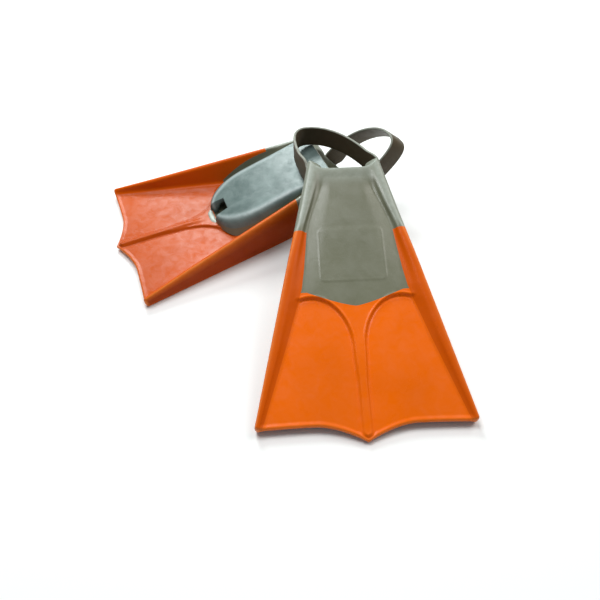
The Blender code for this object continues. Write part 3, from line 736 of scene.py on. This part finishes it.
def drained(patch, fin, walls):
    """Cuts the drain slot through the toe of a patch, with walls down to the blade if asked."""
    mesh = bmesh.new()
    highlight_layer = mesh.verts.layers.float.new("painted_highlight")
    verts = []
    for point, value in zip(patch.points, patch.painted_highlight):
        vert = mesh.verts.new(point)
        vert[highlight_layer] = value
        verts.append(vert)
    for face in patch.faces:
        corners = list(dict.fromkeys(verts[number] for number in face))
        if len(corners) > 2 and mesh.faces.get(corners) is None:
            mesh.faces.new(corners)
    bmesh.ops.remove_doubles(mesh, verts=mesh.verts, dist=0.002)

    def by_slot(face):
        centre = face.calc_center_median()
        return abs(centre.x) < DRAIN_NEAR[0] and centre.y > DRAIN_NEAR[1] and centre.z < DRAIN_NEAR[2]

    def in_slot(face):
        centre = face.calc_center_median()
        return abs(centre.x) < drain_half(centre.y) and centre.y > DRAIN_START and centre.z < DRAIN_TOP

    def on_slot(vert):
        by_side = abs(abs(vert.co.x) - drain_half(vert.co.y)) < 0.01 and vert.co.y > DRAIN_START - 0.01
        by_heel = abs(vert.co.y - DRAIN_START) < 0.01 and abs(vert.co.x) < DRAIN_HALF + 0.01
        return by_side or by_heel

    cuts = (((DRAIN_HALF, DRAIN_START, 0), (1, -DRAIN_FLARE, 0)),
            ((-DRAIN_HALF, DRAIN_START, 0), (1, DRAIN_FLARE, 0)),
            ((0, DRAIN_START, 0), (0, 1, 0)))
    for point, normal in cuts:
        near = [f for f in mesh.faces if by_slot(f)]
        geometry = set(near)
        for face in near:
            geometry.update(face.edges)
            geometry.update(face.verts)
        bmesh.ops.bisect_plane(mesh, geom=list(geometry), dist=0.0005, plane_co=point, plane_no=normal)
    bmesh.ops.delete(mesh, geom=[f for f in mesh.faces if in_slot(f)], context="FACES")
    if walls:
        rim = [e for e in mesh.edges if e.is_boundary and on_slot(e.verts[0]) and on_slot(e.verts[1])]
        made = bmesh.ops.extrude_edge_only(mesh, edges=rim)
        for vert in (item for item in made["geom"] if isinstance(item, bmesh.types.BMVert)):
            roof = drain_roof(vert.co.y, 0.6)
            deep = float(mix(fin.sole_level(vert.co.y) + 6.6, roof, ramp(vert.co.y, *DRAIN_WALL_RUN)))
            vert.co.z = max(vert.co.z, min(deep, roof))
    mesh.verts.index_update()
    points = [tuple(v.co) for v in mesh.verts]
    painted_highlight = [v[highlight_layer] for v in mesh.verts]
    faces = [[v.index for v in f.verts] for f in mesh.faces]
    mesh.free()
    return Patch(points, faces, painted_highlight)


def drain_floor():
    """The ramp at the bottom of the drain slot, running out onto the blade as a smooth tongue with a painted
    highlight.
    """
    start, end = DRAIN_TONGUE
    across, y = np.meshgrid(np.linspace(-1.0, 1.0, 13), np.linspace(start, end, 28), indexing="ij")
    x = across * mix(drain_half(y) + 0.3, 8.0, ramp(y, end - 8.0, end))
    z = drain_roof(y, -0.2) - 0.9 * ramp(y, 180.0, 184.0)
    z = z + 2.2 * ramp(y, end - 4.0, end) + 0.8 * across ** 4 * ramp(y, 181.0, 185.0)
    return grid_patch(np.stack([x, y, z], axis=-1), flip=True, painted_highlight=ramp(y, 179.0, 182.0))


def fin_place(side, fin):
    """The matrix from a fin's own frame in millimetres to where that fin lies, in metres."""
    joint = next(j for j in frame["joints"] if j["name"] == side + "_strap_swing")
    to_metres = Matrix.Scale(0.001, 4)
    if side == "front":
        turn = Matrix.Rotation(math.pi, 4, "Z") @ Matrix.Rotation(-FRONT_LEAN, 4, "X")
    else:
        lean = math.atan((fin.rail_top_rim - fin.rail_top_tip) / fin.side_length)
        turn = Matrix.Rotation(REAR_TURN, 4, "Z") @ Matrix.Rotation(-lean, 4, "X")
        turn = turn @ Matrix.Rotation(math.pi, 4, "Y")
    return Matrix.Translation(joint["pos_m"]) @ turn @ to_metres @ Matrix.Translation(-Vector(STRAP_ROOT))


def weld(patches):
    """Joins patches into points, faces, painted highlights and painted shade, with shared edges merged."""
    points = np.concatenate([patch.points for patch in patches])
    unique, index = np.unique(np.round(points, 3), axis=0, return_inverse=True)
    index = index.reshape(-1)
    painted_highlight = np.zeros(len(unique))
    np.maximum.at(painted_highlight, index, np.concatenate([patch.painted_highlight for patch in patches]))
    painted_shade = np.zeros(len(unique))
    marks = [np.broadcast_to(patch.painted_shade, len(patch.points)) for patch in patches]
    np.maximum.at(painted_shade, index, np.concatenate(marks))
    faces = []
    offset = 0
    for patch in patches:
        for face in patch.faces:
            corners = list(dict.fromkeys(int(index[offset + number]) for number in face))
            if len(corners) > 2:
                faces.append(corners)
        offset += len(patch.points)
    used = np.unique(np.concatenate([np.array(face) for face in faces]))
    renumber = np.full(len(unique), -1)
    renumber[used] = np.arange(len(used))
    faces = [[int(renumber[number]) for number in face] for face in faces]
    return unique[used], faces, painted_highlight[used], painted_shade[used]


def add_piece(name, welded, place, rubber, slot, body, *nodes):
    """Makes one piece of the visible model from its welded patches."""
    points, faces, painted_highlight, painted_shade = welded
    mesh = bpy.data.meshes.new(name)
    mesh.from_pydata([tuple(point) for point in points], [], faces)
    for label, values in (("painted_highlight", painted_highlight), ("painted_shade", painted_shade)):
        layer = mesh.attributes.new(label, "FLOAT", "POINT")
        layer.data.foreach_set("value", values.astype(np.float32))
    mesh.transform(place)
    mesh.shade_smooth()
    mesh.update()
    mesh.materials.append(rubber)
    piece = bpy.data.objects.new(name, mesh)
    bpy.context.scene.collection.objects.link(piece)
    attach(piece, body)
    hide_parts(*nodes)
    return piece


def add_pair(label, patches, fin, kind, node):
    """Makes the same piece of one kind of rubber for both fins."""
    welded = weld(patches)
    rubber = moulded_rubber(getattr(bpy.context.scene.fin_colours, kind), **RUBBERS[kind])
    for side in SIDES:
        place = fin_place(side, fin)
        add_piece(f"{side}_{label}", welded, place, rubber, kind + "_rubber", "fins", f"{side}_{node}")


def add_node(tree, kind, inputs=None, **settings):
    """Adds one node with its settings; inputs gives values or the outputs to link."""
    node = tree.nodes.new(kind)
    for key, value in settings.items():
        setattr(node, key, value)
    for key, value in (inputs or {}).items():
        if isinstance(value, bpy.types.NodeSocket):
            tree.links.new(value, node.inputs[key])
        else:
            node.inputs[key].default_value = value
    return node


def moulded_rubber(colour, *, name, bloom, bloom_most, roughness, gloss, film_most, highlight_colour, highlight_most,
                   shade_colour=None):
    """Compression-moulded rubber, satin and a little uneven in colour, with painted shade and highlights.

    The bloom is the wax that works its way out of cured rubber; it shows as pale hazy patches of 10 to 40 mm.
    The film is what handling has left of the mould's gloss, in waves of about 12 mm. Painted highlights vary
    in 5 mm patches.
    The mould grain is about 0.1 mm on the real fin and is drawn at 0.8 mm so that it shows.
    """
    if name in bpy.data.materials:
        return bpy.data.materials[name]
    material = bpy.data.materials.new(name)
    material.use_nodes = True
    tree = material.node_tree
    tree.nodes.clear()
    place = add_node(tree, "ShaderNodeTexCoord").outputs["Object"]
    # Patterns: size in metres, detail, roughness and distortion.
    noises = {"patches": (0.03, 6.0, 0.6, 0.5), "slow": (0.09, 2.0, 0.5, 0.0),
              "highlight_noise": (0.005, 4.0, 0.7, 0.0), "waves": (0.012, 5.0, 0.65, 0.8),
              "grain": (0.0008, 2.0, 0.5, 0.0)}
    pattern = {}
    for label, (size, detail, harsh, twist) in noises.items():
        noise = add_node(tree, "ShaderNodeTexNoise", {
            "Vector": place, "Scale": 1 / size, "Detail": detail, "Roughness": harsh, "Distortion": twist})
        pattern[label] = noise.outputs["Fac"]
    # What the patterns drive: the stretch of a pattern that counts, and the values at its two ends.
    spans = {"haze": ("patches", 0.4, 0.75, 0.0, bloom_most),
             "tone": ("slow", 0.3, 0.7, 0.92, 1.06),
             "highlight_amount": ("highlight_noise", 0.35, 0.7, 0.65 * highlight_most, highlight_most),
             "dull": ("patches", 0.3, 0.75, roughness - 0.05, roughness + 0.1),
             "film": ("waves", 0.35, 0.65, (1.0 - film_most) * gloss, (1.0 + film_most) * gloss)}
    driven = {}
    for label, (source, low, high, least, most) in spans.items():
        span = add_node(tree, "ShaderNodeMapRange", {
            "Value": pattern[source], "From Min": low, "From Max": high, "To Min": least, "To Max": most})
        driven[label] = span.outputs["Result"]
    base = (*colour, 1.0)
    # Painted shade: the attribute below darkens the base towards a deeper shade colour on shaded faces.
    if shade_colour:
        under = add_node(tree, "ShaderNodeAttribute", attribute_name="painted_shade")
        base = add_node(tree, "ShaderNodeMix", {0: under.outputs["Fac"], 6: base, 7: (*linear(shade_colour), 1.0)},
                        data_type="RGBA").outputs[2]
    bloomed = add_node(tree, "ShaderNodeMix", {0: driven["haze"], 6: base, 7: (*linear(bloom), 1.0)},
                       data_type="RGBA")
    toned = add_node(tree, "ShaderNodeMix", {0: 1.0, 6: bloomed.outputs[2], 7: driven["tone"]},
                     data_type="RGBA", blend_type="MULTIPLY")
    # Painted highlights: the attribute below lightens edges and rims towards a paler highlight colour, in
    # patches.
    edge = add_node(tree, "ShaderNodeAttribute", attribute_name="painted_highlight")
    highlight_amount = add_node(tree, "ShaderNodeMath", {0: edge.outputs["Fac"], 1: driven["highlight_amount"]}, operation="MULTIPLY")
    coloured = add_node(tree, "ShaderNodeMix", {
        0: highlight_amount.outputs[0], 6: toned.outputs[2], 7: (*linear(highlight_colour), 1.0)}, data_type="RGBA")
    uneven = add_node(tree, "ShaderNodeBump", {
        "Height": pattern["waves"], "Strength": 0.12, "Distance": 0.0012})
    bumps = add_node(tree, "ShaderNodeBump", {
        "Height": pattern["grain"], "Strength": 0.1, "Distance": 0.0002, "Normal": uneven.outputs["Normal"]})
    shader = add_node(tree, "ShaderNodeBsdfPrincipled", {
        "Base Color": coloured.outputs[2], "Roughness": driven["dull"], "IOR": 1.52,
        "Specular IOR Level": driven["film"], "Normal": bumps.outputs["Normal"]})
    add_node(tree, "ShaderNodeOutputMaterial", {"Surface": shader.outputs["BSDF"]})
    return material


def strap_sweep():
    """Node tree that sweeps a rounded band along the heel strap's path."""
    tree = bpy.data.node_groups.get("heel_strap_sweep")
    if tree:
        return tree
    tree = bpy.data.node_groups.new("heel_strap_sweep", "GeometryNodeTree")
    face = tree.interface
    face.new_socket("Path", in_out="INPUT", socket_type="NodeSocketGeometry")
    for name in ("Band Thickness", "Band Width", "Edge Round"):
        face.new_socket(name, in_out="INPUT", socket_type="NodeSocketFloat")
    face.new_socket("Rubber", in_out="INPUT", socket_type="NodeSocketMaterial")
    face.new_socket("Band", in_out="OUTPUT", socket_type="NodeSocketGeometry")
    given = add_node(tree, "NodeGroupInput").outputs
    path = add_node(tree, "GeometryNodeMeshToCurve", {"Mesh": given["Path"]})
    upright = add_node(tree, "GeometryNodeSetCurveNormal", {"Curve": path.outputs["Curve"]}, mode="Z_UP")
    block = add_node(tree, "GeometryNodeCurvePrimitiveQuadrilateral", {
        "Width": given["Band Thickness"], "Height": given["Band Width"]}, mode="RECTANGLE")
    rounded = add_node(tree, "GeometryNodeFilletCurve", {
        "Curve": block.outputs["Curve"], "Count": 5, "Radius": given["Edge Round"]}, mode="POLY")
    swept = add_node(tree, "GeometryNodeCurveToMesh", {
        "Curve": upright.outputs["Curve"], "Profile Curve": rounded.outputs["Curve"], "Fill Caps": True})
    smooth = add_node(tree, "GeometryNodeSetShadeSmooth", {"Geometry": swept.outputs["Mesh"]})
    realised = add_node(tree, "GeometryNodeRealizeInstances", {"Geometry": smooth.outputs["Geometry"]})
    dressed = add_node(tree, "GeometryNodeSetMaterial", {
        "Geometry": realised.outputs["Geometry"], "Material": given["Rubber"]})
    add_node(tree, "NodeGroupOutput", {"Band": dressed.outputs["Geometry"]})
    return tree


def strap_path(fin, sway, power):
    """Middle line of the heel strap in its own plane, with its roots let into the side walls."""
    turn = np.linspace(0.0, math.pi, 121)
    cos, sin = np.cos(turn), np.maximum(np.sin(turn), 0.0)
    reach = oval(cos, sin, STRAP_POWER)
    points = [(STRAP_SPAN, y, 0.0) for y in np.linspace(STRAP_END, 1.0, 9)]
    across = STRAP_SPAN * reach * cos + sway * sin ** power
    points += [(x, y, 0.0) for x, y in zip(across, -fin.strap_reach * reach * sin)]
    points += [(-STRAP_SPAN, y, 0.0) for y in np.linspace(1.0, STRAP_END, 9)]
    return points


def strap_mesh(name, fin, sway, power, rubber):
    """The band of one heel strap, in the strap's own plane and in millimetres.

    Its edges carry a painted highlight, and it widens before each root and ends there in a half round.
    """
    points = strap_path(fin, sway, power)
    line = bpy.data.meshes.new(name + "_path")
    line.from_pydata(points, [(i, i + 1) for i in range(len(points) - 1)], [])
    holder = bpy.data.objects.new(name + "_path", line)
    bpy.context.scene.collection.objects.link(holder)
    sweep = holder.modifiers.new("sweep", "NODES")
    sweep.node_group = strap_sweep()
    values = {"Band Thickness": fin.strap_thickness, "Band Width": fin.strap_width,
              "Edge Round": STRAP_EDGE_SHARE * fin.strap_thickness, "Rubber": rubber}
    for item in sweep.node_group.interface.items_tree:
        if item.item_type == "SOCKET" and item.in_out == "INPUT" and item.name in values:
            sweep[item.identifier] = values[item.name]
    shaped = holder.evaluated_get(bpy.context.evaluated_depsgraph_get())
    mesh = bpy.data.meshes.new_from_object(shaped)
    bpy.data.objects.remove(holder)
    bpy.data.meshes.remove(line)
    if not mesh.polygons:
        raise RuntimeError("the heel strap's band came out empty")
    half = 0.5 * fin.strap_width
    painted_highlight = mesh.attributes.new("painted_highlight", "FLOAT", "POINT")
    for number, vert in enumerate(mesh.vertices):
        y, z = vert.co.y, vert.co.z
        painted_highlight.data[number].value = float(ramp(abs(z), half - 1.4, half - 0.4))
        flare = float(ramp(y, *STRAP_WIDEN_IN) * (1.0 - ramp(y, *STRAP_WIDEN_OUT)))
        z += flare * STRAP_WIDEN["up" if z > 0.0 else "down"] * min(abs(z) / half, 1.0)
        vert.co.z = z * math.sqrt(1.0 - min(max(y, 0.0) / half, 0.99) ** 2)
    mesh.name = name
    return mesh


class FINS_OT_foot_pockets(bpy.types.Operator):
    """Moulds the grey foot pockets with their rims, ears, foot hollows and toe bulges"""
    bl_idname = "swim_fins.foot_pockets"
    bl_label = "Foot pockets"

    def execute(self, context):
        fin = FinShape(context.scene.fin_sizes)
        top, low, loft = skin(fin, 1), skin(fin, -1), sole_loft(fin)
        grid, painted_highlight = hollow_grid(rim_loop(top, low, loft), fin)
        patches = [grid_patch(face["sheet"], face["pocket"], face["flip"], face["painted_highlight"])
                   for face in (top, low)]
        patches += [drained(grid_patch(loft[:, SOLE_STEPS:]), fin, True),
                    drained(grid_patch(grid, painted_highlight=painted_highlight), fin, False), drain_floor()]
        add_pair("pocket_skin", patches, fin, "pocket", "foot_pocket")
        return {"FINISHED"}


class FINS_OT_soles(bpy.types.Operator):
    """Lays the paler sole plates with their rounded edges and drain slots"""
    bl_idname = "swim_fins.soles"
    bl_label = "Soles"

    def execute(self, context):
        fin = FinShape(context.scene.fin_sizes)
        plate = sole_loft(fin)[:, :SOLE_STEPS + 1]
        # A painted highlight runs along the sole's rounded edge.
        rounding = np.exp(-((np.arange(SOLE_STEPS + 1) - SOLE_FLAT - 2.5) / 2.0) ** 2)
        patch = drained(grid_patch(plate, painted_highlight=np.tile(rounding, (len(plate), 1))), fin, True)
        add_pair("sole_skin", [patch], fin, "sole", "sole")
        return {"FINISHED"}


class FINS_OT_blades(bpy.types.Operator):
    """Moulds the orange blades with their centre ribs and arched panels"""
    bl_idname = "swim_fins.blades"
    bl_label = "Blades"

    def execute(self, context):
        fin = FinShape(context.scene.fin_sizes)
        faces = (skin(fin, 1), skin(fin, -1))
        patches = [grid_patch(face["sheet"], face["blade"], face["flip"], face["painted_highlight"]) for face in faces]
        # Painted shade over the whole sole face of the blade.
        patches[1].painted_shade = 1.0
        add_pair("blade_skin", patches, fin, "blade", "blade")
        return {"FINISHED"}


class FINS_OT_rails(bpy.types.Operator):
    """Moulds the orange side rails with their rounded ridges"""
    bl_idname = "swim_fins.rails"
    bl_label = "Side rails"

    def execute(self, context):
        fin = FinShape(context.scene.fin_sizes)
        faces = (skin(fin, 1), skin(fin, -1))
        for hand, sign in (("left", -1), ("right", 1)):
            patches = []
            for face in faces:
                count = face["rail"].shape[0]
                half = np.sign(np.arange(count) - count / 2 + 0.5) == sign
                patch = grid_patch(face["sheet"], face["rail"] & half[:, None], face["flip"], face["painted_highlight"])
                # Painted shade on the rails' outer sides.
                patch.painted_shade = face["outside"].reshape(-1)
                patches.append(patch)
            add_pair(f"{hand}_rail_skin", patches, fin, "rail", f"{hand}_rail")
        return {"FINISHED"}


class FINS_OT_heel_straps(bpy.types.Operator):
    """Sweeps the dark heel straps round the heels"""
    bl_idname = "swim_fins.heel_straps"
    bl_label = "Heel straps"

    def execute(self, context):
        fin = FinShape(context.scene.fin_sizes)
        rubber = moulded_rubber(context.scene.fin_colours.strap, **RUBBERS["strap"])
        for side in SIDES:
            name = side + "_strap_band"
            mesh = strap_mesh(name, fin, STRAP_SWAY[side], STRAP_SWAY_POWER[side], rubber)
            own = Matrix.Translation(STRAP_ROOT) @ Matrix.Rotation(STRAP_TILT[side], 4, "X")
            place = fin_place(side, fin) @ own
            mesh.transform(place)
            mesh.update()
            piece = bpy.data.objects.new(name, mesh)
            context.scene.collection.objects.link(piece)
            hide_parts(side + "_heel_strap")
            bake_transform(piece)
        return {"FINISHED"}


class FINS_OT_stage(bpy.types.Operator):
    """Lays the pale floor and sets the soft studio lights and the camera"""
    bl_idname = "swim_fins.stage"
    bl_label = "Stage"

    def execute(self, context):
        scene = context.scene
        self.lay_floor(scene)
        self.set_lights(scene)
        self.set_camera(scene)
        return {"FINISHED"}

    def lay_floor(self, scene):
        """A wide sheet of matt paper, with fibres drawn at 2 mm so that they show."""
        mesh = bpy.data.meshes.new("studio_floor")
        mesh.from_pydata([(-4, -4, 0), (4, -4, 0), (4, 4, 0), (-4, 4, 0)], [], [(0, 1, 2, 3)])
        mesh.transform(Matrix.Translation((0, 0, CAD_BOX[0][2])))
        paper = bpy.data.materials.new("studio_paper")
        paper.use_nodes = True
        tree = paper.node_tree
        tree.nodes.clear()
        place = add_node(tree, "ShaderNodeTexCoord").outputs["Object"]
        fibre = add_node(tree, "ShaderNodeTexNoise", {"Vector": place, "Scale": 1 / 0.002, "Detail": 2.0})
        bumps = add_node(tree, "ShaderNodeBump", {
            "Height": fibre.outputs["Fac"], "Strength": 0.05, "Distance": 0.0002})
        shader = add_node(tree, "ShaderNodeBsdfPrincipled", {
            "Base Color": (*scene.fin_colours.floor, 1.0), "Roughness": 0.9,
            "Normal": bumps.outputs["Normal"]})
        add_node(tree, "ShaderNodeOutputMaterial", {"Surface": shader.outputs["BSDF"]})
        mesh.materials.append(paper)
        floor = bpy.data.objects.new("studio_floor", mesh)
        scene.collection.objects.link(floor)

    def set_lights(self, scene):
        """Pale air and three soft lights, each with its place, target, size, power and colour."""
        world = bpy.data.worlds.new("studio_air")
        world.use_nodes = True
        world.node_tree.nodes["Background"].inputs["Color"].default_value = (0.92, 0.96, 1.0, 1.0)
        world.node_tree.nodes["Background"].inputs["Strength"].default_value = 0.22
        scene.world = world
        scene.view_settings.view_transform = "Standard"
        lights = (
            ("window_light", (-0.34, 1.36, 1.11), (-0.1, 0.08, 0.0), 0.6, 20.0, (0.89, 1.0, 0.99)),
            ("top_light", (-0.42, 0.52, 1.74), (0.05, 0.05, 0.05), 0.8, 19.0, (0.97, 0.99, 1.0)),
            ("back_light", (1.2, 0.6, 1.6), (0.08, 0.0, 0.0), 1.2, 21.0, (1.0, 0.98, 0.95)),
        )
        for name, spot, target, size, power, colour in lights:
            light = bpy.data.lights.new(name, "AREA")
            light.size = size
            light.energy = power
            light.color = colour
            lamp = bpy.data.objects.new(name, light)
            lamp.location = spot
            scene.collection.objects.link(lamp)
            lamp.rotation_euler = (Vector(target) - lamp.location).to_track_quat("-Z", "Y").to_euler()

    def set_camera(self, scene):
        """The camera that took the photo, as fitted to the fins' outlines."""
        spot = (0.0335, -0.4431, 0.497)
        swing, dip, roll = math.radians(1.2), math.radians(50.35), math.radians(1.63)
        aim = Matrix.Rotation(-swing, 4, "Z") @ Matrix.Rotation(math.pi / 2 - dip, 4, "X")
        camera = bpy.data.cameras.new("photo_camera")
        camera.sensor_width = 36.0
        camera.lens = 32.62
        camera.clip_start = 0.01
        eye = bpy.data.objects.new("photo_camera", camera)
        eye.matrix_world = Matrix.Translation(spot) @ aim @ Matrix.Rotation(-roll, 4, "Z")
        scene.collection.objects.link(eye)
        scene.camera = eye


OPERATORS = (FINS_OT_foot_pockets, FINS_OT_soles, FINS_OT_blades, FINS_OT_rails, FINS_OT_heel_straps,
             FINS_OT_stage)


class FINS_PT_sidebar(bpy.types.Panel):
    """Lists the sizes, the colours and the pieces of the swim fins"""
    bl_idname = "FINS_PT_sidebar"
    bl_label = "Swim fins"
    bl_space_type = "VIEW_3D"
    bl_region_type = "UI"
    bl_category = "Swim fins"

    def draw(self, context):
        column = self.layout.column()
        for name in FinSizes.__annotations__:
            column.prop(context.scene.fin_sizes, name)
        for name in FinColours.__annotations__:
            column.prop(context.scene.fin_colours, name)
        for operator in OPERATORS:
            column.operator(operator.bl_idname)


CLASSES = (FinSizes, FinColours, *OPERATORS, FINS_PT_sidebar)


def register():
    for item in CLASSES:
        bpy.utils.register_class(item)
    bpy.types.Scene.fin_sizes = bpy.props.PointerProperty(type=FinSizes)
    bpy.types.Scene.fin_colours = bpy.props.PointerProperty(type=FinColours)


def unregister():
    del bpy.types.Scene.fin_colours
    del bpy.types.Scene.fin_sizes
    for item in reversed(CLASSES):
        bpy.utils.unregister_class(item)


def main():
    register()
    bpy.ops.swim_fins.foot_pockets()
    bpy.ops.swim_fins.soles()
    bpy.ops.swim_fins.blades()
    bpy.ops.swim_fins.rails()
    bpy.ops.swim_fins.heel_straps()
    bpy.ops.swim_fins.stage()


if __name__ == "__main__":
    main()
